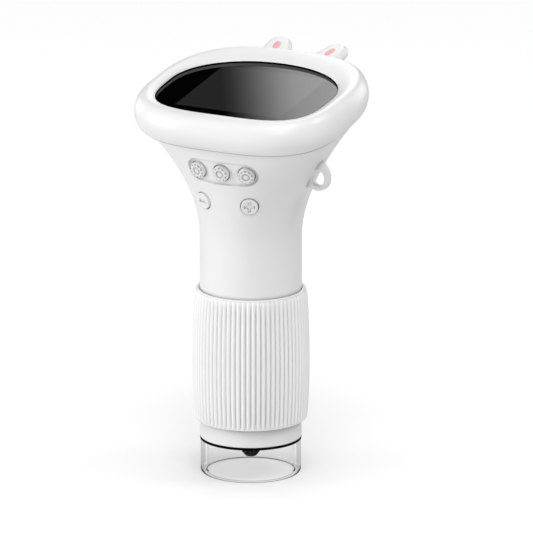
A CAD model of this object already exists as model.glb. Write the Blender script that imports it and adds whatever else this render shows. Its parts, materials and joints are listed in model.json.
"""Upright white viewer: a wide eared head with a black screen on a flared neck, five keys,
a ribbed focusing ring, a lower collar with a clear sleeve, and a black nose inside.

The barrel's axis is +Z through the origin and the sleeve stands on z = 0. The front is -Y, the
left is -X. The head's face looks up and is tilted about X, so that its back edge is higher.
Geometry is in millimetres; materials, lights and camera are in metres. Angles round the barrel
are in degrees: 0 is +X, 90 the back, 270 the front.
"""
import bpy
import json
import math
from collections import namedtuple

import numpy as np
from mathutils import Matrix, Vector


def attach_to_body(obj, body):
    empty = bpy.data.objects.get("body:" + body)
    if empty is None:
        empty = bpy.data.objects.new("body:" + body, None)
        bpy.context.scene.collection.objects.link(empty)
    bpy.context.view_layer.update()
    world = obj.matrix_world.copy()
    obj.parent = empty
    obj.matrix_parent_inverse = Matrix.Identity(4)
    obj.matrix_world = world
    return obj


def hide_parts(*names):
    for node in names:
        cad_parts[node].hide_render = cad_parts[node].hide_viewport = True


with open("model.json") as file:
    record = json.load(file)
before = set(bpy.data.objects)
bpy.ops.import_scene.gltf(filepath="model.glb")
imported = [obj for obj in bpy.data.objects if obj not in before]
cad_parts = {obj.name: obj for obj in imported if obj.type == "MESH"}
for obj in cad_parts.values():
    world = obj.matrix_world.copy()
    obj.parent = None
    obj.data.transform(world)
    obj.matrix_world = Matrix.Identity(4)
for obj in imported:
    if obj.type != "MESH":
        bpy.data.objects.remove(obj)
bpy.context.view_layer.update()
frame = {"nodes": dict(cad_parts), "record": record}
nodes = frame["nodes"]
scene = bpy.context.scene

MM = 0.001  # metres in a millimetre

# ---------------------------------------------------------------- driving dimensions
TILT = 8.3      # of the head's face, degrees
HEAD_Z = 136.9  # height of the face's origin on the barrel axis
COS_TILT = math.cos(math.radians(TILT))
SIN_TILT = math.sin(math.radians(TILT))

# Outline of two half superellipses, one behind and one in front of the same width
Outline = namedtuple("Outline", "half_width back front back_power front_power shift")
WINDOW = Outline(31.3, 23.75, 24.8, 2.07, 3.59, 0.45)
CORE = Outline(34.55, 34.85, 27.2, 2.79, 3.08, -1.78)  # line the bezel bulges out from
SEAM = Outline(35.45, 35.75, 25.2, 2.79, 3.08, -1.78)  # where the neck meets the head

# Levels along the head's outward axis
SEAM_LEVEL = -11.45
WIDEST_LEVEL = -5.2
BULGE = 3.985      # reach of the bezel's side beyond CORE
BEZEL_RISE = 6.3   # from the widest level to the crown

TUBE_RADIUS = 17.7
FLARE_Z = 85.0     # the round tube ends here and the flare begins
FLARE_POWER_FRONT, FLARE_POWER_BACK = 2.05, 1.66
FRONT_FULLNESS = 0.7  # lowers the power in the middle of the front
WALL = 1.8

FRONT = 270.0
KEY_ROW_Z, LOW_KEYS_Z = 112.0, 100.2
KEY_RADIUS, LOW_KEY_RADIUS = 2.95, 3.0
KEY_GAP = 0.3
# name: angle, height, radius, body
SEATS = {
    "key_left": (FRONT - 23.6, KEY_ROW_Z, KEY_RADIUS, "left_key"),
    "key_middle": (FRONT, KEY_ROW_Z, KEY_RADIUS, "middle_key"),
    "key_right": (FRONT + 23.6, KEY_ROW_Z, KEY_RADIUS, "right_key"),
    "key_minus": (FRONT - 26.3, LOW_KEYS_Z, LOW_KEY_RADIUS, "minus_key"),
    "key_plus": (FRONT + 26.3, LOW_KEYS_Z, LOW_KEY_RADIUS, "plus_key"),
}


# ---------------------------------------------------------------- outlines and surfaces
def outline(shape, angles, offset=0.0):
    """Points of an outline in the given directions, moved outwards by offset."""
    angles = np.asarray(angles, float)
    offset = np.asarray(offset, float)
    cos, sin = np.cos(np.radians(angles)), np.sin(np.radians(angles))
    behind = sin >= 0
    depth = np.where(behind, shape.back, shape.front)
    power = np.where(behind, shape.back_power, shape.front_power)
    width = shape.half_width
    radius = ((np.abs(cos) / width) ** power + (np.abs(sin) / depth) ** power) ** (-1 / power)
    x, y = radius * cos, radius * sin
    normal_x = np.where(x < 0, -1, 1) * (np.abs(x) / width) ** (power - 1) / width
    normal_y = np.where(y < 0, -1, 1) * (np.abs(y) / depth) ** (power - 1) / depth
    length = np.maximum(np.hypot(normal_x, normal_y), 1e-9)
    return x + offset * normal_x / length, y + offset * normal_y / length + shape.shift


def head(x, y, level):
    """Head coordinates (across, up the slope, out of the screen) to the frame's x, y, z."""
    x, y, level = np.broadcast_arrays(np.asarray(x, float), y, level)
    return np.stack([x, y * COS_TILT - level * SIN_TILT,
                     HEAD_Z + y * SIN_TILT + level * COS_TILT], -1)


def head_ring(shape, angles, offset, level):
    x, y = outline(shape, angles, offset)
    return head(x, y, level)


def circle(radius, height, angles):
    """Ring round Z; angles are in radians, radius and height may vary with them."""
    parts = np.broadcast_arrays(radius * np.cos(angles), radius * np.sin(angles), height)
    return np.stack(parts, -1)


def full_turn(count):
    return np.arange(count) * 2 * np.pi / count


def neck(angles, rise, inset=0.0):
    """Flare of the neck; rise runs from 0 at the tube to 1 at the head's seam."""
    angles, rise = np.broadcast_arrays(np.asarray(angles, float), np.asarray(rise, float))
    seam = head_ring(SEAM, angles, -inset, SEAM_LEVEL)
    radius = TUBE_RADIUS - inset
    cos, sin = np.cos(np.radians(angles)), np.sin(np.radians(angles))
    power = (FLARE_POWER_FRONT + (FLARE_POWER_BACK - FLARE_POWER_FRONT) * (1 + sin) / 2
             - FRONT_FULLNESS * np.maximum(-sin, 0) ** 6)
    blend = np.maximum(rise, 0) ** power
    x = radius * cos * (1 - blend) + seam[..., 0] * blend
    y = radius * sin * (1 - blend) + seam[..., 1] * blend
    z = FLARE_Z + (seam[..., 2] - FLARE_Z) * rise
    return np.stack([x, y, z], -1)


def neck_normal(angles, rise):
    along = neck(np.asarray(angles) + 0.5, rise) - neck(np.asarray(angles) - 0.5, rise)
    upward = neck(angles, np.asarray(rise) + 0.005) - neck(angles, np.asarray(rise) - 0.005)
    normal = np.cross(along, upward)
    return normal / np.linalg.norm(normal, axis=-1, keepdims=True)


def seat(angle, z):
    """Rotation and place on the neck: local x along the surface, y up it, z out of it."""
    seam_z = head_ring(SEAM, angle, 0.0, SEAM_LEVEL)[..., 2]
    rise = float((z - FLARE_Z) / (seam_z - FLARE_Z))
    normal = neck_normal(angle, rise)
    azimuth = math.atan2(normal[0], -normal[1])
    side = np.array([math.cos(azimuth), math.sin(azimuth), 0.0])
    return np.stack([side, np.cross(normal, side), normal], 1), neck(angle, rise)


def smoothstep(x):
    x = np.clip(x, 0, 1)
    return x * x * (3 - 2 * x)


def soft_edge(distance, width):
    """0 outside to 1 inside, over a band of the given width about distance 0."""
    return smoothstep(distance / width + 0.5)


def spaced(*spans):
    """Values through each (start, end, step) span, with the last end included."""
    values = []
    for start, end, step in spans:
        count = round((end - start) / step)
        values += [start + (end - start) * i / count for i in range(count)]
    return np.array(values + [spans[-1][1]])


def rounded(points, radii, segments):
    """Polygon with its corners rounded by one radius or by one for each corner."""
    corners = [np.array(p, float) for p in points]
    radii = np.broadcast_to(radii, len(corners))
    result = []
    for i, corner in enumerate(corners):
        before, after = corners[i - 1] - corner, corners[(i + 1) % len(corners)] - corner
        length_before, length_after = np.linalg.norm(before), np.linalg.norm(after)
        before, after = before / length_before, after / length_after
        angle = math.acos(max(-1, min(1, float(before @ after))))
        if radii[i] <= 0 or angle > math.pi - 0.02:
            result.append(corner)
            continue
        setback = min(radii[i] / math.tan(angle / 2), length_before * 0.49, length_after * 0.49)
        radius = setback * math.tan(angle / 2)
        bisector = (before + after) / np.linalg.norm(before + after)
        centre = corner + bisector * (radius / math.sin(angle / 2))
        start, end = corner + before * setback - centre, corner + after * setback - centre
        cos_sweep = float(start @ end) / (np.linalg.norm(start) * np.linalg.norm(end))
        sweep = math.acos(max(-1, min(1, cos_sweep)))
        for k in range(segments + 1):
            t = k / segments
            arc = math.sin((1 - t) * sweep) * start + math.sin(t * sweep) * end
            result.append(centre + arc / math.sin(sweep))
    return np.array(result)


def turn_x(degrees):
    c, s = math.cos(math.radians(degrees)), math.sin(math.radians(degrees))
    return np.array([[1, 0, 0], [0, c, -s], [0, s, c]])


def turn_z(degrees):
    c, s = math.cos(math.radians(degrees)), math.sin(math.radians(degrees))
    return np.array([[c, -s, 0], [s, c, 0], [0, 0, 1]])


# ---------------------------------------------------------------- mesh helpers
def smooth(obj, sharp=None):
    """Smooth shading; edges sharper than sharp degrees stay crisp."""
    mesh = obj.data
    mesh.polygons.foreach_set("use_smooth", np.ones(len(mesh.polygons), bool))
    if sharp:
        mesh.set_sharp_from_angle(angle=math.radians(sharp))
    mesh.update()


def solid(name, verts, faces, material, sharp=None, place=None):
    """Closed mesh with its faces outwards, moved by place = (rotation, position) if given."""
    verts = np.asarray(verts, float)
    if place:
        rotation, position = place
        verts = verts @ rotation.T + position
    triangles = np.array([(f[0], f[i], f[i + 1]) for f in faces for i in range(1, len(f) - 1)])
    first, second, third = (verts[triangles[:, k]] for k in range(3))
    if np.einsum("ij,ij->", first, np.cross(second, third)) < 0:
        faces = [face[::-1] for face in faces]
    mesh = bpy.data.meshes.new(name)
    mesh.from_pydata((verts * MM).tolist(), [], faces)
    mesh.validate()
    mesh.update()
    obj = bpy.data.objects.new(name, mesh)
    scene.collection.objects.link(obj)
    mesh.materials.append(material)
    smooth(obj, sharp)
    return obj


def attach(obj, body, slot, *replaced):
    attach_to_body(obj, body)
    if replaced:
        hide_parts(*replaced)


def grid_faces(rows, cols, wrap_cols=True, wrap_rows=False):
    """Quads of a rows x cols grid of vertices, row-major."""
    i = np.arange(rows if wrap_rows else rows - 1)[:, None]
    j = np.arange(cols if wrap_cols else cols - 1)[None, :]
    i2, j2 = (i + 1) % rows, (j + 1) % cols
    corners = [i * cols + j, i * cols + j2, i2 * cols + j2, i2 * cols + j]
    return np.stack(corners, -1).reshape(-1, 4)


def ring_solid(name, rings, material, sharp=None, place=None):
    """Solid whose last ring joins the first."""
    points = np.array(rings)
    faces = grid_faces(*points.shape[:2], wrap_rows=True).tolist()
    return solid(name, points.reshape(-1, 3), faces, material, sharp, place)


def capped_solid(name, rings, poles, material, sharp=None, place=None, turned_fans=False):
    """Solid closed by a fan to a pole at the first and at the last ring."""
    points = np.array(rings)
    rows, cols = points.shape[:2]
    last = (rows - 1) * cols
    fans = [(rows * cols, (j + 1) % cols, j) for j in range(cols)]
    fans += [(rows * cols + 1, last + j, last + (j + 1) % cols) for j in range(cols)]
    if turned_fans:
        fans = [(pole, b, a) for pole, a, b in fans]
    verts = np.concatenate([points.reshape(-1, 3), poles])
    return solid(name, verts, grid_faces(rows, cols).tolist() + fans, material, sharp, place)


def prism_cutter(ends, place=None):
    """Cutting tool between two matching end outlines."""
    count = len(ends[0])
    faces = grid_faces(2, count).tolist()
    faces += [list(range(count))[::-1], list(range(count, 2 * count))]
    return solid("cutter", np.concatenate(ends), faces, WHITE, place=place)


def revolve(name, profile, segments, material, count=256, sharp=40):
    """Lathe a closed profile of (radius, height, corner rounding) round Z."""
    profile = rounded([row[:2] for row in profile], [row[2] for row in profile], segments)
    rings = [circle(radius, z, full_turn(count)) for radius, z in profile]
    return ring_solid(name, rings, material, sharp)


def thicken(outer, inner, faces):
    """Closed wall between an outer sheet and the matching inner sheet."""
    used = np.zeros(len(outer), bool)
    used[faces.ravel()] = True
    new_index = -np.ones(len(outer), int)
    new_index[used] = np.arange(used.sum())
    faces = new_index[faces]
    count = used.sum().item()
    sides = ((0, 1), (1, 2), (2, 3), (3, 0))
    edges = np.concatenate([faces[:, side] for side in sides]).tolist()
    directed = {(a, b) for a, b in edges}
    rim = [[b, a, a + count, b + count] for a, b in edges if (b, a) not in directed]
    all_faces = faces.tolist() + (faces[:, ::-1] + count).tolist() + rim
    return np.concatenate([outer[used], inner[used]]), all_faces


def cut(target, cutter):
    """Take the cutter out of the target and delete the cutter."""
    modifier = target.modifiers.new("cut", "BOOLEAN")
    modifier.operation = "DIFFERENCE"
    modifier.solver = "EXACT"
    modifier.object = cutter
    bpy.context.view_layer.update()
    depsgraph = bpy.context.evaluated_depsgraph_get()
    mesh = bpy.data.meshes.new_from_object(target.evaluated_get(depsgraph))
    target.modifiers.clear()
    old = target.data
    target.data = mesh
    mesh.name = target.name
    bpy.data.meshes.remove(old)
    cutter_mesh = cutter.data
    bpy.data.objects.remove(cutter)
    bpy.data.meshes.remove(cutter_mesh)


# ---------------------------------------------------------------- material helpers
class Shader:
    """A new material with short calls that add, set and link its nodes."""

    def __init__(self, name, principled=True):
        self.material = bpy.data.materials.new(name)
        self.material.use_nodes = True
        self.tree = self.material.node_tree
        if principled:
            self.principled = self.tree.nodes["Principled BSDF"]
            self.output = self.tree.nodes["Material Output"]
        else:
            self.tree.nodes.clear()
            self.output = self.add("OutputMaterial")

    def feed(self, node, inputs):
        """Link the inputs given as sockets and set the ones given as values."""
        for key, value in inputs.items():
            if isinstance(value, bpy.types.NodeSocket):
                self.tree.links.new(value, node.inputs[key])
            else:
                node.inputs[key].default_value = value

    def add(self, kind, inputs=None, **settings):
        node = self.tree.nodes.new("ShaderNode" + kind)
        for key, value in settings.items():
            setattr(node, key, value)
        self.feed(node, inputs or {})
        return node

    def math(self, operation, *values, **settings):
        return self.add("Math", dict(enumerate(values)), operation=operation, **settings).outputs[0]

    def noise(self, coords, **inputs):
        return self.add("TexNoise", {"Vector": coords, **inputs}).outputs["Fac"]

    def rescale(self, value, to_min, to_max, from_min=0.0, from_max=1.0):
        inputs = {"Value": value, "From Min": from_min, "From Max": from_max,
                  "To Min": to_min, "To Max": to_max}
        return self.add("MapRange", inputs).outputs["Result"]

    def mix_color(self, factor, first, second):
        # 0, 6 and 7 are the factor and the two colours; output 2 is the colour
        return self.add("Mix", {0: factor, 6: first, 7: second}, data_type="RGBA").outputs[2]

    def mix_shader(self, factor, first, second):
        return self.add("MixShader", {0: factor, 1: first, 2: second}).outputs["Shader"]

    def bump(self, height, strength, distance):
        inputs = {"Strength": strength, "Distance": distance, "Height": height}
        return self.add("Bump", inputs).outputs["Normal"]

    def finish(self, surface):
        self.tree.links.new(surface, self.output.inputs["Surface"])
        return self.material


def opaque(color):
    return (*color, 1.0)


def darken_creases(shader, color, reach, depth, own_surface):
    """Darken the colour in creases: reach in metres, depth as a share of the tone."""
    occlusion = shader.add("AmbientOcclusion", {"Distance": reach},
                           samples=12, only_local=own_surface)
    light_left = shader.rescale(occlusion.outputs["AO"], 1 - depth, 1.0,
                                from_min=0.35, from_max=0.96)
    inputs = {0: color, "Scale": light_left}
    return shader.add("VectorMath", inputs, operation="SCALE").outputs["Vector"]


def plastic(name, color, rough=0.4, specular=0.5, bump=0.02, grain=900.0, metallic=0.0,
            crease=None, tone=0.01):
    """Moulded surface: faint grain, and slight changes of gloss and tone across it."""
    gloss_change = 0.01
    shader = Shader(name)
    coords = shader.add("TexCoord").outputs["Object"]
    patches = shader.noise(coords, Scale=60.0, Detail=2.0)
    roughness = shader.rescale(patches, rough - gloss_change, rough + gloss_change,
                               from_min=0.3, from_max=0.7)
    base = shader.mix_color(patches, opaque([c * (1 - tone) for c in color]),
                            opaque([c * (1 + tone) for c in color]))
    if crease:
        base = darken_creases(shader, base, **crease)
    fine = shader.noise(coords, Scale=grain, Detail=3.0)
    shader.feed(shader.principled, {
        "Metallic": metallic,
        "Specular IOR Level": specular,
        "Coat Roughness": 0.15,
        "Roughness": roughness,
        "Base Color": base,
        "Normal": shader.bump(fine, strength=bump, distance=0.0002),
    })
    return shader.material


def lens_glass():
    """Clear glass that casts only a light shadow."""
    shader = Shader("lens_glass")
    coords = shader.add("TexCoord").outputs["Object"]
    haze = shader.noise(coords, Scale=120.0)
    shader.feed(shader.principled, {
        "Base Color": opaque((0.9, 0.95, 0.97)),
        "Transmission Weight": 1.0,
        "IOR": 1.52,
        "Roughness": shader.rescale(haze, to_min=0.0, to_max=0.02),
    })
    shadow = shader.add("BsdfTransparent", {"Color": opaque((0.85, 0.85, 0.85))})
    path = shader.add("LightPath")
    return shader.finish(shader.mix_shader(
        path.outputs["Is Shadow Ray"], shader.principled.outputs["BSDF"], shadow.outputs["BSDF"]))


def clear_wall():
    """Thin clear tube: the view passes straight through, tinted where it runs along the wall."""
    grazing, low_grazing = 0.41, 0.27      # cosines below which the view runs along the wall
    outer_from, bore_to = 0.0163, 0.01532  # distances from the axis
    bottom_to, foot_to = 0.00045, 0.0009   # heights
    toward_x, toward_y, near_from = 0.462, 0.887, 0.002  # right-front direction, and its start
    near_fade = 0.6
    clear_tint, wall_tint, dark_tint = 0.99, 0.15, 0.8
    shader = Shader("clear_plastic", principled=False)
    calc = shader.math
    geometry = shader.add("NewGeometry")
    inputs = {0: geometry.outputs["Normal"], 1: geometry.outputs["Incoming"]}
    dot = shader.add("VectorMath", inputs, operation="DOT_PRODUCT")
    facing = calc("ABSOLUTE", dot.outputs["Value"])
    x, y, z = shader.add("SeparateXYZ", {"Vector": geometry.outputs["Position"]}).outputs
    away = calc("SQRT", calc("ADD", calc("MULTIPLY", x, x), calc("MULTIPLY", y, y)))
    along = calc("MULTIPLY", calc("LESS_THAN", facing, grazing),
                 calc("GREATER_THAN", away, outer_from))
    low = calc("LESS_THAN", z, bottom_to)
    inner = calc("MULTIPLY", calc("LESS_THAN", away, bore_to), low)
    under = calc("MULTIPLY", calc("LESS_THAN", facing, low_grazing),
                 calc("LESS_THAN", z, foot_to))
    near = calc("GREATER_THAN", calc("SUBTRACT", calc("MULTIPLY", x, toward_x),
                                     calc("MULTIPLY", y, toward_y)), near_from)
    faded = calc("MULTIPLY", inner, calc("SUBTRACT", 1.0, calc("MULTIPLY", near, near_fade)))
    dark = calc("MAXIMUM", faded, under)
    tint = calc("SUBTRACT", calc("SUBTRACT", clear_tint, calc("MULTIPLY", along, wall_tint)),
                calc("MULTIPLY", dark, dark_tint))
    color = shader.add("CombineColor", {"Red": tint, "Green": tint, "Blue": tint})
    coords = shader.add("TexCoord").outputs["Object"]
    roughness = shader.rescale(shader.noise(coords, Scale=90.0), to_min=0.02, to_max=0.06)
    through = shader.add("BsdfTransparent", {"Color": color.outputs["Color"]})
    gloss = shader.add("BsdfGlossy", {"Roughness": roughness})
    # reflection grows from a hundredth, face on, towards the tube's edges
    face_gloss, edge_gloss, edge_power = 0.01, 0.3, 4.0
    slant = calc("POWER", calc("SUBTRACT", 1.0, facing), edge_power)
    reflection = calc("ADD", face_gloss, calc("MULTIPLY", slant, edge_gloss))
    return shader.finish(shader.mix_shader(
        reflection, through.outputs["BSDF"], gloss.outputs["BSDF"]))


def screen_material():
    """Gloss black cover over a switched-off display, a faintly lighter rectangle."""
    # centre and half-size of the display, and levels on the rim, in head coordinates
    display_x, display_half_x = -0.00025, 0.02028
    display_y, display_half_y = 0.00092, 0.01837
    rim_from, wall_from, wall_to = -0.00132, -0.00131, -0.00073
    gloss, border_loss, rim_loss, rim_roughness = 0.5, 0.05, 0.5, 0.6
    shader = Shader("screen_black")
    calc = shader.math
    origin = Matrix.Rotation(-math.radians(TILT), 3, "X") @ Vector((0, 0, HEAD_Z * MM))
    coords = shader.add("TexCoord").outputs["Object"]
    in_head = shader.add("Mapping", {
        "Vector": coords,
        "Rotation": (-math.radians(TILT), 0, 0),
        "Location": (-origin.x, -origin.y, -origin.z),
    }, vector_type="POINT")
    x, y, z = shader.add("SeparateXYZ", {"Vector": in_head.outputs["Vector"]}).outputs
    from_middle_x = calc("ABSOLUTE", calc("SUBTRACT", x, display_x), 0.0)
    inside_x = calc("LESS_THAN", from_middle_x, display_half_x)
    from_middle_y = calc("ABSOLUTE", calc("SUBTRACT", y, display_y), 0.0)
    inside_y = calc("LESS_THAN", from_middle_y, display_half_y)
    inside = calc("MULTIPLY", inside_x, inside_y)
    # the rim's lower wall is a lighter grey than its edge
    wall = calc("MULTIPLY", calc("LESS_THAN", z, wall_to), calc("GREATER_THAN", z, wall_from))
    border_black = opaque((0.0012, 0.0012, 0.0013))
    display_black = opaque((0.022, 0.022, 0.0225))
    wall_grey = opaque((0.062, 0.062, 0.064))
    face = shader.mix_color(inside, border_black, display_black)
    color = shader.mix_color(wall, face, wall_grey)
    normal = shader.bump(shader.noise(coords, Scale=80.0), strength=0.002, distance=0.0001)
    rim = calc("GREATER_THAN", z, rim_from)
    border = calc("MULTIPLY", calc("SUBTRACT", 1.0, inside), border_loss)
    specular = calc("SUBTRACT", calc("SUBTRACT", gloss, border),
                    calc("MULTIPLY", rim, rim_loss), use_clamp=True)
    shader.principled.inputs["Roughness"].default_value = 0.0
    shader.feed(shader.principled, {
        "IOR": 1.5,
        "Base Color": color,
        "Normal": normal,
        "Specular IOR Level": specular,
        "Roughness": calc("MULTIPLY", rim, rim_roughness),
    })
    # the rim stays out of the cover's own reflection
    path = shader.add("LightPath")
    hidden = shader.add("BsdfTransparent")
    return shader.finish(shader.mix_shader(
        calc("MULTIPLY", rim, path.outputs["Is Glossy Ray"]),
        shader.principled.outputs["BSDF"], hidden.outputs["BSDF"]))


# ---------------------------------------------------------------- materials
OFF_WHITE = (0.86, 0.86, 0.86)

WHITE = plastic("white_plastic", OFF_WHITE, rough=0.36, specular=0.45)
BEZEL_WHITE = plastic("bezel_white", OFF_WHITE, rough=0.3)
NECK_WHITE = plastic("neck_white", OFF_WHITE, rough=0.36, specular=0.45,
                     crease=dict(reach=0.0014, depth=0.6, own_surface=False))
EYE_WHITE = plastic("eye_white", OFF_WHITE, rough=0.36, specular=0.45,
                    crease=dict(reach=0.002, depth=0.5, own_surface=False))
COLLAR_WHITE = plastic("collar_white", OFF_WHITE, rough=0.36, specular=0.45,
                       crease=dict(reach=0.006, depth=0.8, own_surface=False))
SOFT_WHITE = plastic("soft_white", (0.95, 0.95, 0.95), rough=0.3, bump=0.01,
                     crease=dict(reach=0.0009, depth=0.32, own_surface=True))
KEY_WHITE = plastic("key_white", OFF_WHITE, rough=0.22, bump=0.005,
                    crease=dict(reach=0.0006, depth=0.95, own_surface=True))
SEAM_GREY = plastic("seam_grey", (0.52, 0.52, 0.52), rough=0.6, specular=0.2)
SEAL_GREY = plastic("seal_grey", (0.16, 0.16, 0.16), rough=0.7, specular=0.2)
GREY = plastic("grey_plastic", (0.66, 0.66, 0.67))
BLACK = plastic("black_plastic", (0.02, 0.02, 0.02), rough=0.38, bump=0.04)
NOSE_BLACK = plastic("nose_black", (0.0015, 0.0015, 0.0015), rough=0.6, specular=0.03, bump=0.0)
PINK = plastic("pink_plastic", (0.93, 0.42, 0.44), specular=0.4)
STEEL = plastic("steel", (0.62, 0.63, 0.64), rough=0.28, metallic=1.0, bump=0.03)
BOARD = plastic("green_board", (0.03, 0.16, 0.07), rough=0.45, bump=0.05, grain=1500, tone=0.1)
CHIP = plastic("chip_black", (0.03, 0.03, 0.032), rough=0.55, bump=0.05)
RUBBER = plastic("dark_rubber", (0.05, 0.05, 0.05), rough=0.75, specular=0.2, bump=0.08)
LCD = plastic("lcd_black", (0.02, 0.02, 0.025), rough=0.25)
AMBER = plastic("amber_film", (0.6, 0.26, 0.05), rough=0.3, tone=0.06)
FOIL = plastic("foil", (0.6, 0.61, 0.63), rough=0.32, metallic=0.8, bump=0.2, grain=250)
RED = plastic("lead_red", (0.5, 0.03, 0.03), rough=0.45)
LED = plastic("led_lens", (0.9, 0.86, 0.6), rough=0.3)
CLEAR = clear_wall()
LENS = lens_glass()
SCREEN = screen_material()

BY_SLOT = {
    "white_plastic": WHITE, "soft_white": SOFT_WHITE, "key_white": KEY_WHITE,
    "grey_plastic": GREY, "black_plastic": BLACK, "clear_plastic": CLEAR,
    "black_glass": BLACK, "lcd_black": LCD, "pink_plastic": PINK, "steel": STEEL,
    "green_board": BOARD, "chip_black": CHIP, "led_lens": LED, "lens_glass": LENS,
    "amber_film": AMBER, "dark_rubber": RUBBER, "foil": FOIL, "lead_red": RED,
}
for row in frame["record"]["subparts"]:
    materials = nodes[row["node"]].data.materials
    materials.clear()
    materials.append(BY_SLOT[row["material_slot"]])

# ---------------------------------------------------------------- neck shell and rear cover
# The rear cover fills this span of angles; its own edges stand back by a hair's breadth
COVER_START, COVER_END, COVER_GAP = 40, 140, 0.22
TUBE_HEIGHTS = (63.9, 64.05, 64.5, 66, 70, 75, 80, 83, 84.4, 85.05)
TUBE_BORE = 15.95
TUBE_END_CHAMFER = 0.15
# Pill-shaped recess round the upper row of keys
PILL_HALF_STRAIGHT, PILL_RADIUS, PILL_DEPTH = 9.0, 4.45, 0.7


def pill_depth(points):
    """Depth of the pill-shaped recess at points of the neck's surface."""
    rotation, position = seat(FRONT, KEY_ROW_Z)
    local = (points - position) @ rotation
    beyond = np.maximum(np.abs(local[..., 0]) - PILL_HALF_STRAIGHT, 0)
    distance = np.hypot(beyond, local[..., 1]) - PILL_RADIUS
    in_front = local[..., 2] > -14
    return PILL_DEPTH * smoothstep((0.08 - distance) / 0.2) * in_front


def neck_shell():
    """Tube and flare in one wall, open where the rear cover sits."""
    angles = spaced((0, COVER_START, 1.25), (COVER_START, COVER_END, 1.25),
                    (COVER_END, 222, 1.4), (222, 318, 0.4), (318, 360, 1.4))[:-1]
    rises = spaced((0.0, 0.3, 0.02), (0.3, 0.5, 0.008), (0.5, 0.86, 0.0045),
                   (0.86, 0.994, 0.01))[1:]
    outer, inner = [], []
    for k, z in enumerate(TUBE_HEIGHTS):
        radius = TUBE_RADIUS - (TUBE_END_CHAMFER if k == 0 else 0.0)
        outer.append(circle(radius, z, np.radians(angles)))
        inner.append(circle(TUBE_BORE, z, np.radians(angles)))
    for rise in rises:
        surface = neck(angles, rise)
        outer.append(surface - neck_normal(angles, rise) * pill_depth(surface)[:, None])
        inner.append(neck(angles, rise, WALL))
    rows, cols = len(outer), len(angles)
    in_flare = np.arange(rows - 1)[:, None] >= len(TUBE_HEIGHTS) - 1
    covered = in_flare & (angles >= COVER_START) & (angles < COVER_END)
    faces = grid_faces(rows, cols)[~covered.ravel()]
    verts, faces = thicken(np.concatenate(outer), np.concatenate(inner), faces)
    return solid("neck_shell", verts, faces, NECK_WHITE)


def slope_box(left, right, bottom, top, radius):
    """Cutter along the slope through the back of the neck, with rounded long edges."""
    corners = [(left, bottom), (right, bottom), (right, top), (left, top)]
    x, level = rounded(corners, radius, 8).T
    return prism_cutter([head(x, y, level) for y in (18, 34)])


def rear_panel():
    """Cover in the back of the neck, with two openings under the head."""
    angles = spaced((COVER_START + COVER_GAP, COVER_END - COVER_GAP, 1.0))
    rises = spaced((0.004, 0.3, 0.02), (0.3, 0.9, 0.012), (0.9, 0.994, 0.01))
    outer = np.concatenate([neck(angles, rise) for rise in rises])
    inner = np.concatenate([neck(angles, rise, WALL) for rise in rises])
    faces = grid_faces(len(rises), len(angles), wrap_cols=False)
    verts, faces = thicken(outer, inner, faces)
    panel = solid("rear_panel", verts, faces, NECK_WHITE)
    cut(panel, slope_box(left=-6.9, right=2.5, bottom=-21.6, top=-18.0, radius=1.7))
    cut(panel, slope_box(left=6.1, right=18.9, bottom=-20.5, top=-18.2, radius=0.7))
    smooth(panel, 35)
    attach(panel, "housing", "white_plastic", "rear_cover")


EYE_X, EYE_Z = 26.8, 108.5
EYE_HALF_DEPTH = 1.7
EYE_HOLE, EYE_HOLE_STRETCH = 2.45, 0.42
# direction from the hole's middle in degrees, outer radius
EYE_RADII = [
    (-125, 4.5), (-90, 4.5), (-45, 4.3), (0, 3.93), (35, 4.3), (55, 4.85), (73, 5.5), (86, 6.1),
    (101, 5.6), (125, 4.3), (157, 3.95), (185, 4.6), (205, 5.7), (217, 6.1), (235, 4.5),
]


def strap_loop():
    """Rounded eye on the right, whose thick roots reach into the neck's wall."""
    directions, radii = np.array(EYE_RADII, float).T
    start = directions[0]
    angles = np.arange(0, 360, 3.0)
    outer = np.interp((angles - start) % 360, directions - start, radii)
    kernel = np.array([1, 2, 3, 4, 3, 2, 1], float)
    kernel /= kernel.sum()
    outer = sum(weight * np.roll(outer, k - 3) for k, weight in enumerate(kernel))
    sections = []
    for angle, reach in zip(np.radians(angles), outer):
        hole = EYE_HOLE + EYE_HOLE_STRETCH * abs(math.sin(angle)) ** 2.2
        depth = EYE_HALF_DEPTH
        section = rounded([(hole, -depth), (reach, -depth), (reach, depth), (hole, depth)],
                          [0.55, 0.8, 0.8, 0.55], 7)
        sections.append(np.stack([EYE_X + section[:, 0] * math.cos(angle), section[:, 1],
                                  EYE_Z + section[:, 0] * math.sin(angle)], -1))
    points = np.array(sections)
    faces = grid_faces(*points.shape[:2], wrap_rows=True)[:, [0, 3, 2, 1]].tolist()
    loop = solid("strap_loop", points.reshape(-1, 3), faces, EYE_WHITE)
    attach(loop, "housing", "white_plastic")


def cut_key_holes(shell):
    for angle, z, radius, _ in SEATS.values():
        ends = [circle(radius + KEY_GAP, depth, full_turn(96)) for depth in (-4, 4)]
        cut(shell, prism_cutter(ends, seat(angle, z)))


shell = neck_shell()
rear_panel()
strap_loop()
cut_key_holes(shell)
smooth(shell, 38)
attach(shell, "housing", "white_plastic", "body_shell")


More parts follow.
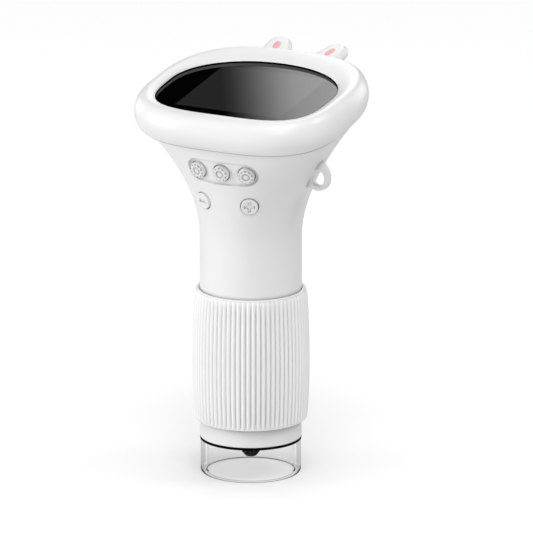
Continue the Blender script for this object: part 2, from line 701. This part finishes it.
# ---------------------------------------------------------------- bezel with ears
LIP_LEVEL, LIP_RADIUS, LIP_HEIGHT = -0.25, 0.26, 0.27
LIP_FOOT = -0.74
CROWN_STEPS = (0.06, 0.12, 0.2, 0.3, 0.4, 0.5, 0.6, 0.7, 0.8, 0.9)  # lip to core line
BEZEL_UNDERSIDE = [  # outline, offset, level: under the edge and back up inside
    (CORE, 1.35, -11.0), (CORE, 1.12, -11.18), (CORE, 0.85, -11.22),
    (SEAM, -2.2, -11.22), (SEAM, -2.2, -6.6), (CORE, -1.2, -6.5),
    (CORE, -1.2, -2.0), (WINDOW, 1.3, -1.99), (WINDOW, 1.3, LIP_FOOT),
]


def bezel():
    angles = np.arange(0, 360, 1.0)
    # the crown is lower towards the front
    crown_rise = BEZEL_RISE - 0.7 * np.maximum(-np.sin(np.radians(angles)), 0) ** 2
    rings = [head_ring(WINDOW, angles, 0.0, LIP_FOOT), head_ring(WINDOW, angles, 0.0, LIP_LEVEL)]
    for k in range(7):
        turn = math.radians(180 - 180 * k / 6)
        rings.append(head_ring(WINDOW, angles, LIP_RADIUS + LIP_RADIUS * math.cos(turn),
                               LIP_LEVEL + LIP_HEIGHT * math.sin(turn)))
    rings.append(head_ring(WINDOW, angles, 0.56, -0.22))
    lip_x, lip_y = outline(WINDOW, angles, 0.3)
    core_x, core_y = outline(CORE, angles)
    for t in CROWN_STEPS:
        level = (crown_rise + WIDEST_LEVEL) * math.sin(math.radians(90 * t))
        rings.append(head(lip_x + (core_x - lip_x) * t, lip_y + (core_y - lip_y) * t, level))
    for turn in [*np.arange(90, -60.1, -4.0), -60]:
        rise = crown_rise if turn > 0 else BEZEL_RISE
        rings.append(head_ring(CORE, angles, BULGE * math.cos(math.radians(turn)),
                               WIDEST_LEVEL + rise * math.sin(math.radians(turn))))
    rings += [head_ring(shape, angles, offset, level) for shape, offset, level in BEZEL_UNDERSIDE]
    shell = ring_solid("bezel_shell", rings, BEZEL_WHITE, sharp=40)
    attach(shell, "housing", "white_plastic", "head_bezel")


def seam_strip():
    """Grey bead along the head's lower edge, where it meets the neck."""
    angles = np.arange(0, 360, 2.0)
    section = ((1.1, -11.1), (1.1, -11.46), (0.6, -11.46), (0.6, -11.1))
    rings = [head_ring(CORE, angles, offset, level) for offset, level in section]
    attach(ring_solid("seam_strip", rings, SEAM_GREY, sharp=40), "housing", "grey_plastic")


EAR_X, EAR_Y, EAR_LEVEL = 10.97, 42.68, -2.19  # in head coordinates
EAR_YAW, EAR_PITCH = 12.4, 8.2
EAR_TIP_RADIUS, EAR_BASE_RADIUS = 2.48, 4.42
EAR_LENGTH = 9    # from the tip arc's centre to the base arc's
EAR_EDGE = 1.96   # radius of the half-round edge
PAD_Y = -2.6
PAD_HALF_X, PAD_HALF_Y, PAD_GAP = 1.26, 2.5, 0.04
SIDES = (("left", -EAR_X), ("right", EAR_X))


def ear_place(x):
    yaw = EAR_YAW if x < 0 else -EAR_YAW
    return turn_x(TILT) @ turn_z(yaw) @ turn_x(EAR_PITCH), head(x, EAR_Y, EAR_LEVEL)


def ear(side, x):
    """Pillow-shaped ear: an outline of two arcs swept through a half-round edge."""
    lean = math.degrees(math.asin((EAR_BASE_RADIUS - EAR_TIP_RADIUS) / EAR_LENGTH))
    tip = np.radians(np.linspace(lean, 180 - lean, 61))
    base = np.radians(np.linspace(180 - lean, 360 + lean, 61))
    tip, base = (np.column_stack([np.cos(t), np.sin(t)]) for t in (tip, base))
    normals = np.concatenate([tip, base])
    core = np.concatenate([tip * EAR_TIP_RADIUS, base * EAR_BASE_RADIUS + (0, -EAR_LENGTH)])
    rings = []
    for turn in np.radians(np.arange(-90, 90.1, 7.5)):
        edge = core + normals * EAR_EDGE * math.cos(turn)
        rings.append(np.column_stack([edge, np.full(len(edge), EAR_EDGE * math.sin(turn))]))
    poles = [[0.0, -3.5, -EAR_EDGE], [0.0, -3.5, EAR_EDGE]]
    obj = capped_solid(f"ear_{side}", rings, poles, BEZEL_WHITE, place=ear_place(x))
    attach(obj, "housing", "white_plastic")
    return obj


def pad(name, x, gap, bottom, top, rim, dome, material):
    """Elliptical pad in an ear's frame, with a rounded rim and a slight dome."""
    rows = [(1.0, 0.0, bottom), (1.0, 0.0, top - rim)]  # scale, offset, height
    for k in range(1, 7):
        turn = math.radians(15 * k)
        rows.append((1.0, -rim * (1 - math.cos(turn)), top - rim + rim * math.sin(turn)))
    rows += [(s, -rim, top + dome * (1 - s * s)) for s in (0.85, 0.7, 0.5, 0.3)]
    t = full_turn(96)
    half_x, half_y = PAD_HALF_X + gap, PAD_HALF_Y + gap
    rings = [np.stack([(half_x * scale + offset) * np.cos(t),
                       PAD_Y + (half_y * scale + offset) * np.sin(t),
                       np.full(len(t), height)], -1) for scale, offset, height in rows]
    poles = [[0, PAD_Y, bottom], [0, PAD_Y, top + dome]]
    return capped_solid(name, rings, poles, material, place=ear_place(x))


bezel()
seam_strip()
for side, x in SIDES:
    one_ear = ear(side, x)
    cut(one_ear, pad("cutter", x, gap=PAD_GAP, bottom=1.2, top=3.0, rim=0.05, dome=0.0,
                     material=BEZEL_WHITE))
    smooth(one_ear, 40)
for side, x in SIDES:
    attach(pad(f"ear_pad_{side}", x, gap=0.0, bottom=1.22, top=1.85, rim=0.12, dome=0.06,
               material=PINK), "housing", "pink_plastic", f"ear_inlay_{side}")

# ---------------------------------------------------------------- screen
SCREEN_LEVEL, SCREEN_BACK = -1.35, -1.98
# offset from the window's outline, level: up the outside, over the rim and down its wall
SCREEN_RIM = [
    (1.1, SCREEN_BACK), (1.1, -0.78), (-0.01, -0.78), (-0.01, -0.06), (-0.03, -0.03),
    (-0.05, -0.03), (-0.07, -0.06), (-0.07, -0.72), (-0.09, -0.74), (-1.25, -1.33),
    (-1.3, SCREEN_LEVEL),
]


def screen():
    """Cover panel with a raised black rim that meets the window's lip."""
    angles = np.arange(0, 360, 1.5)
    # the wall slopes at the back and stands upright at the front
    slope = np.maximum(np.cos(np.radians(angles - 117.5)), 0) ** 0.8
    rings = []
    for offset, level in SCREEN_RIM:
        if offset <= -1:
            offset = -0.12 + (offset + 0.12) * slope
        rings.append(head_ring(WINDOW, angles, offset, level))
    x, y = outline(WINDOW, angles, -0.16 - 1.14 * slope)
    middle = WINDOW.shift
    for scale in (0.9, 0.75, 0.5, 0.25):
        rings.append(head(x * scale, (y - middle) * scale + middle, SCREEN_LEVEL))
    poles = [head(0, middle, SCREEN_BACK), head(0, middle, SCREEN_LEVEL)]
    panel = capped_solid("screen_panel", rings, poles, SCREEN, sharp=8)
    attach(panel, "housing", "black_glass", "screen_glass")


screen()
for name in ("bezel_shell", "ear_left", "ear_right", "ear_pad_left", "ear_pad_right"):
    bpy.data.objects[name].visible_glossy = False

# ---------------------------------------------------------------- focusing ring
GRIP_LOW, GRIP_HIGH = 19.3, 65.4
GRIP_END = 2.2        # closely stepped length at each end
GRIP_FLOOR = 18.98    # radius between the ribs' ends
GRIP_BORE = 18.82
RIBS, STEPS_PER_RIB = 70, 18
RIB_PHASE = 1.65      # angle of a rib's ridge
RIB_TIP = 0.9         # radius of a rib's rounded tip


def grip_envelope(z):
    """Radius of the ribs' ridges, swelling between the ends."""
    t = np.clip((z - GRIP_LOW) / 46.6, 0, 1)
    return 19.4 - 0.1 * t + 1.05 * np.sin(np.pi * t ** 0.95) ** 0.6


def ribbed_grip():
    count = RIBS * STEPS_PER_RIB
    degrees = np.arange(count) / count * 360.0
    t = np.radians(degrees)
    across = ((degrees - RIB_PHASE) * RIBS / 360.0 + 0.5) % 1.0 - 0.5
    from_ridge = 2 * np.abs(across)
    heights = np.concatenate([
        GRIP_LOW + GRIP_END * np.linspace(0, 1, 18) ** 1.3,
        np.linspace(GRIP_LOW + GRIP_END, GRIP_HIGH - GRIP_END, 36)[1:-1],
        GRIP_HIGH - GRIP_END * np.linspace(1, 0, 18) ** 1.3,
    ])
    middle, half = (GRIP_LOW + GRIP_HIGH) / 2, (GRIP_HIGH - GRIP_LOW) / 2
    shrink = 0.95 * from_ridge ** 2.2  # ribs are longest along their ridges
    rings = []
    for z in heights:
        k = (z - middle) / (half - shrink)
        envelope = grip_envelope(middle + np.clip(k, -1, 1) * half)
        to_end = np.clip((1 - np.abs(k)) * half, 0, RIB_TIP)
        tip = RIB_TIP - np.sqrt(np.maximum(RIB_TIP ** 2 - (RIB_TIP - to_end) ** 2, 0))
        radius = envelope - 0.8 * from_ridge ** 2.0 - tip * 0.85
        radius = np.where(np.abs(k) >= 1, GRIP_FLOOR, radius)
        rings.append(circle(np.maximum(radius, GRIP_FLOOR), z, t))
    rings += [circle(GRIP_BORE, z, t) for z in (GRIP_HIGH, 42.0, GRIP_LOW)]
    grip = ring_solid("ribbed_grip", rings, SOFT_WHITE, sharp=50)
    attach(grip, "focus_ring", "soft_white", "grip_sleeve")


FOCUS_BARREL = [  # radius, height, corner rounding
    (17.43, 19.2, 0.1), (18.8, 19.2, 0.2), (18.8, 65.45, 0.0), (18.9, 65.45, 0.0),
    (18.9, 66.0, 0.3), (17.86, 66.0, 0.2), (17.86, 65.2, 0.0), (18.15, 65.0, 0.0),
    (18.15, 63.7, 0.1), (17.43, 63.7, 0.1),
]

ribbed_grip()
attach(revolve("focus_barrel", FOCUS_BARREL, 5, WHITE, sharp=35),
       "focus_ring", "white_plastic", "focus_ring_core")

# ---------------------------------------------------------------- keys
KEY_RIM = 0.28             # rounding of the cap's edge
KEY_RELIEF = 0.36          # raised on the keys of the upper row
SIGN_DEPTH = 0.4           # sunk minus and plus
SIGN_HALF_LENGTH, SIGN_HALF_WIDTH = 1.95, 0.55
KEY_FLANGE = 0.55
STEM_RADIUS = 1.5


def toothed_relief(distance, radius, t):
    """Raised ring with ten teeth round a raised disc."""
    edge = 0.14
    tooth = np.tanh(3.0 * np.cos(10 * t)) / math.tanh(3.0)
    ring = (soft_edge(radius - 0.62 + 0.24 * tooth - distance, edge)
            * soft_edge(distance - (radius - 1.45), edge))
    disc = soft_edge(radius - 2.1 - distance, edge)
    return KEY_RELIEF * np.maximum(ring, disc)


def sign_relief(distance, t, crossed):
    """Sunk bar, or two crossed bars."""
    def bar(along, across):
        return (soft_edge(SIGN_HALF_WIDTH - np.abs(across), 0.16)
                * soft_edge(SIGN_HALF_LENGTH - np.abs(along), 0.16))

    x, y = distance * np.cos(t), distance * np.sin(t)
    depth = np.maximum(bar(x, y), bar(y, x)) if crossed else bar(x, y)
    return -SIGN_DEPTH * depth


def key_cap(name):
    angle, z, radius, body = SEATS[name]
    toothed = radius == KEY_RADIUS
    top = 0.5 if toothed else 0.6
    t = full_turn(160)
    rows = []  # radius, height
    for distance in np.linspace(0.06, radius - KEY_RIM, 52):
        if toothed:
            relief = toothed_relief(distance, radius, t)
        else:
            relief = sign_relief(distance, t, crossed=name == "key_plus")
        rows.append((distance, top + relief))
    for k in range(1, 7):
        turn = math.radians(90 - 15 * k)
        rows.append((radius - KEY_RIM + KEY_RIM * math.cos(turn),
                     top - KEY_RIM + KEY_RIM * math.sin(turn)))
    # side, flange and stem
    flange = radius + KEY_FLANGE
    rows += [
        (radius, -1.0), (radius, -2.48), (flange - 0.1, -2.5), (flange, -2.6), (flange, -3.1),
        (flange - 0.1, -3.2), (STEM_RADIUS, -3.2), (STEM_RADIUS, -4.6),
        (STEM_RADIUS - 0.1, -4.7), (0.5, -4.7),
    ]
    rings = [circle(ring_radius, height, t) for ring_radius, height in rows]
    poles = [[0, 0, top + (KEY_RELIEF if toothed else -SIGN_DEPTH)], [0, 0, -4.7]]
    cap = capped_solid(name + "_cap", rings, poles, KEY_WHITE, sharp=60, place=seat(angle, z),
                       turned_fans=True)
    attach(cap, body, "key_white", name)


def key_seal(name):
    """Dark ring that closes the running gap below the surface."""
    angle, z, radius, _ = SEATS[name]
    inner, outer, bottom, top = radius + 0.05, radius + 0.75, -1.5, -1.12
    section = rounded([(inner, bottom), (outer, bottom), (outer, top), (inner, top)], 0.06, 3)
    rings = [circle(ring_radius, height, full_turn(96)) for ring_radius, height in section]
    seal = ring_solid(name + "_seal", rings, SEAL_GREY, sharp=50, place=seat(angle, z))
    attach(seal, "housing", "dark_rubber")


for name in SEATS:
    key_cap(name)
    key_seal(name)

# ---------------------------------------------------------------- lower barrel, sleeve, nose
# Profiles: radius, height, corner rounding
COLLAR = [
    (15.96, 12.72, 0.1), (17.35, 12.72, 0.15), (17.6, 12.97, 0.15), (17.6, 19.1, 0.12),
    (16.65, 19.1, 0.05), (16.65, 17.4, 0.05), (15.96, 17.4, 0.05),
]
BLACK_RING = [(16.0, 11.92, 0.05), (17.58, 11.92, 0.04), (17.58, 12.7, 0.04), (16.0, 12.7, 0.05)]
SLEEVE = [
    (15.1, 0.0, 0.5), (17.4, 0.0, 1.5), (17.4, 11.9, 0.1), (15.9, 11.9, 0.1),
    (15.9, 17.0, 0.1), (15.1, 17.0, 0.1),
]
NOSE = [
    (1.1, 5.4, 0.1), (1.85, 5.4, 0.12), (2.15, 5.65, 0.12), (7.5, 12.75, 1.0), (7.5, 24.05, 0.1),
    (9.0, 24.05, 0.1), (9.0, 25.2, 0.1), (5.6, 25.2, 0.1), (5.6, 14.4, 0.1), (2.75, 11.3, 0.1),
    (2.75, 8.7, 0.1), (2.3, 8.2, 0.1), (1.1, 6.4, 0.1),
]
attach(revolve("collar", COLLAR, 4, COLLAR_WHITE), "housing", "white_plastic", "lower_collar")
attach(revolve("black_ring", BLACK_RING, 3, NOSE_BLACK),
       "housing", "black_plastic", "spacer_ring")
attach(revolve("sleeve_clear", SLEEVE, 10, CLEAR),
       "stand_sleeve", "clear_plastic", "clear_sleeve")
attach(revolve("nose", NOSE, 5, NOSE_BLACK, count=160),
       "lens_unit", "black_plastic", "nose_cone")

# Smooth shading for the CAD nodes that stay
for node in nodes.values():
    if not node.hide_render:
        smooth(node, 30)


# ---------------------------------------------------------------- floor and world
def sheet(name, corners):
    mesh = bpy.data.meshes.new(name)
    mesh.from_pydata(corners, [], [[0, 1, 2, 3]])
    obj = bpy.data.objects.new(name, mesh)
    scene.collection.objects.link(obj)
    return obj


def floor_material():
    """Pale paper that glows a little, so it stays white without flooding the object."""
    object_glow, camera_glow = 0.684, 1.33      # strength towards the object and the camera
    foot_radius, shade_loss, shade_fall = 0.017, 0.40, -25.0  # darker about the foot
    bore_radius, bore_gain = 0.0152, 0.17       # lighter inside the sleeve
    shader = Shader("floor_pale", principled=False)
    calc = shader.math
    diffuse = shader.add("BsdfDiffuse", {"Color": opaque((0.9, 0.9, 0.9))})
    path = shader.add("LightPath")
    coords = shader.add("TexCoord").outputs["Object"]
    away = shader.add("VectorMath", {0: coords}, operation="LENGTH").outputs["Value"]
    beyond_foot = calc("MAXIMUM", calc("SUBTRACT", away, foot_radius), 0.0)
    near = calc("EXPONENT", calc("MULTIPLY", beyond_foot, shade_fall))
    within = calc("MULTIPLY", calc("LESS_THAN", away, bore_radius), bore_gain)
    shaded = calc("SUBTRACT", camera_glow, calc("MULTIPLY", near, shade_loss))
    strength = shader.rescale(path.outputs["Is Camera Ray"], to_min=object_glow,
                              to_max=calc("ADD", shaded, within))
    glow = shader.add("Emission", {"Strength": strength})
    paper = shader.mix_shader(0.5, diffuse.outputs[0], glow.outputs[0])
    # seen from below, the paper doesn't hide the object
    geometry = shader.add("NewGeometry")
    hidden = shader.add("BsdfTransparent")
    return shader.finish(shader.mix_shader(geometry.outputs["Backfacing"], paper,
                                           hidden.outputs[0]))


FLOOR_HALF, FLOOR_Z = 4.0, -0.00006
QUAD = ((-1, -1), (1, -1), (1, 1), (-1, 1))
floor = sheet("floor", [(x * FLOOR_HALF, y * FLOOR_HALF, FLOOR_Z) for x, y in QUAD])
floor.data.materials.append(floor_material())

# A white backdrop for the view only; it gives no light
world = bpy.data.worlds.new("studio")
scene.world = world
world.use_nodes = True
background = world.node_tree.nodes["Background"]
background.inputs["Color"].default_value = (1, 1, 1, 1)
world_path = world.node_tree.nodes.new("ShaderNodeLightPath")
world.node_tree.links.new(world_path.outputs["Is Camera Ray"], background.inputs["Strength"])

# ---------------------------------------------------------------- lights
# The camera looks from the front, turned to the right and raised; these are its axes
AZIMUTH, ELEVATION = math.radians(27.5), math.radians(15.5)
RIGHT = Vector((math.cos(AZIMUTH), math.sin(AZIMUTH), 0))
UP = Vector((-math.sin(AZIMUTH) * math.sin(ELEVATION), math.cos(AZIMUTH) * math.sin(ELEVATION),
             math.cos(ELEVATION)))
BACK = Vector((math.sin(AZIMUTH) * math.cos(ELEVATION), -math.cos(AZIMUTH) * math.cos(ELEVATION),
               math.sin(ELEVATION)))
LIGHT_TARGET = Vector((0, 0, 0.08))
# name; place from the target along RIGHT, UP and BACK; width, height; power in watts
LIGHTS = [
    ("side_left", -1.0, 0.2, 0.1, 0.3, 0.6, 2.8),
    ("high_front", 0, 0.75, 0.7, 0.5, 0.5, 5.4),
    ("front", 0, 0.15, 1.0, 0.5, 0.5, 2.61),
    ("high_right", 0.7, 0.7, 0.3, 0.4, 0.4, 2.7),
    ("back_left", -0.7, 0.4, -0.6, 0.4, 0.5, 1.75),
    ("back_right", 0.7, 0.4, -0.6, 0.4, 0.5, 1.7),
    ("back_top", 0, 0.8, -0.6, 0.5, 0.5, 1.39),
    ("strip_left", -0.95, 0.05, 0.3, 0.12, 0.8, 2.91),
]


def area_light(name, right, up, back, width, height, power):
    data = bpy.data.lights.new(name, "AREA")
    data.shape = "RECTANGLE"
    data.size, data.size_y = width, height
    data.energy = power
    obj = bpy.data.objects.new(name, data)
    scene.collection.objects.link(obj)
    obj.location = LIGHT_TARGET + RIGHT * right + UP * up + BACK * back
    obj.rotation_mode = "QUATERNION"
    obj.rotation_quaternion = (LIGHT_TARGET - obj.location).to_track_quat("-Z", "Y")
    obj.visible_camera = False


for row in LIGHTS:
    area_light(*row)

# ---------------------------------------------------------------- card the screen reflects
CARD_HALF = 120.0      # half its width and height, millimetres
CARD_DISTANCE = 0.35
CARD_STRENGTH = 2.5
CARD_FULL = 0.35       # brightness shown by a ramp value of 1
# millimetres right of the barrel axis, brightness of the reflection: dark left, pale right
CARD_STEPS = [
    (-10.0, 0.0), (-6.5, 0.0125), (-3.7, 0.030), (-1.0, 0.053), (1.8, 0.083), (4.6, 0.116),
    (7.3, 0.152), (10.1, 0.1965), (12.9, 0.231), (15.7, 0.264), (18.4, 0.280), (24.0, 0.30),
    (30.0, 0.325),
]


def card_material():
    shader = Shader("card_gradient", principled=False)
    coords = shader.add("TexCoord").outputs["UV"]
    across = shader.add("SeparateXYZ", {"Vector": coords}).outputs["X"]
    ramp = shader.add("ValToRGB", {"Fac": across})
    elements = ramp.color_ramp.elements
    while len(elements) < len(CARD_STEPS):
        elements.new(0.5)
    for element, (place, brightness) in zip(elements, CARD_STEPS):
        element.position = 0.5 + place / (2 * CARD_HALF)
        element.color = opaque((brightness / CARD_FULL,) * 3)
    inputs = {"Color": ramp.outputs["Color"], "Strength": CARD_STRENGTH}
    return shader.finish(shader.add("Emission", inputs).outputs[0])


def reflection_card():
    """Card square to the camera's view as mirrored by the head's face."""
    face_normal = Vector((0, -SIN_TILT, COS_TILT))
    mirrored = (2 * face_normal.dot(BACK) * face_normal - BACK).normalized()
    centre = Vector((0, 0, HEAD_Z * MM)) + mirrored * CARD_DISTANCE
    card_up = mirrored.cross(RIGHT).normalized()
    card_right = card_up.cross(mirrored).normalized()
    half = CARD_HALF * MM
    card = sheet("card", [tuple(centre + card_right * a * half + card_up * b * half)
                          for a, b in QUAD])
    uv_map = card.data.uv_layers.new(name="UVMap")
    for i, (a, b) in enumerate(QUAD):
        uv_map.data[i].uv = ((a + 1) / 2, (b + 1) / 2)
    card.data.materials.append(card_material())
    card.visible_camera = False
    card.visible_diffuse = False
    card.visible_shadow = False
    card.visible_transmission = False


reflection_card()

# ---------------------------------------------------------------- camera
CAMERA_DISTANCE = 8.0
VIEW_WIDTH = 0.18462    # width seen at the camera distance
AIM_RIGHT, AIM_UP, AIM_BACK = 0.00544, 0.0706, 0.018

camera_data = bpy.data.cameras.new("cam")
camera_data.sensor_width = 36.0
camera_data.lens = 36.0 * CAMERA_DISTANCE / VIEW_WIDTH
camera_data.clip_start = 0.1
camera_data.clip_end = 30.0
camera = bpy.data.objects.new("cam", camera_data)
scene.collection.objects.link(camera)
camera.location = RIGHT * AIM_RIGHT + UP * AIM_UP + BACK * (CAMERA_DISTANCE + AIM_BACK)
camera.rotation_mode = "QUATERNION"
camera.rotation_quaternion = Matrix((RIGHT, UP, BACK)).transposed().to_quaternion()
scene.camera = camera
scene.view_settings.view_transform = "Standard"
scene.view_settings.look = "None"
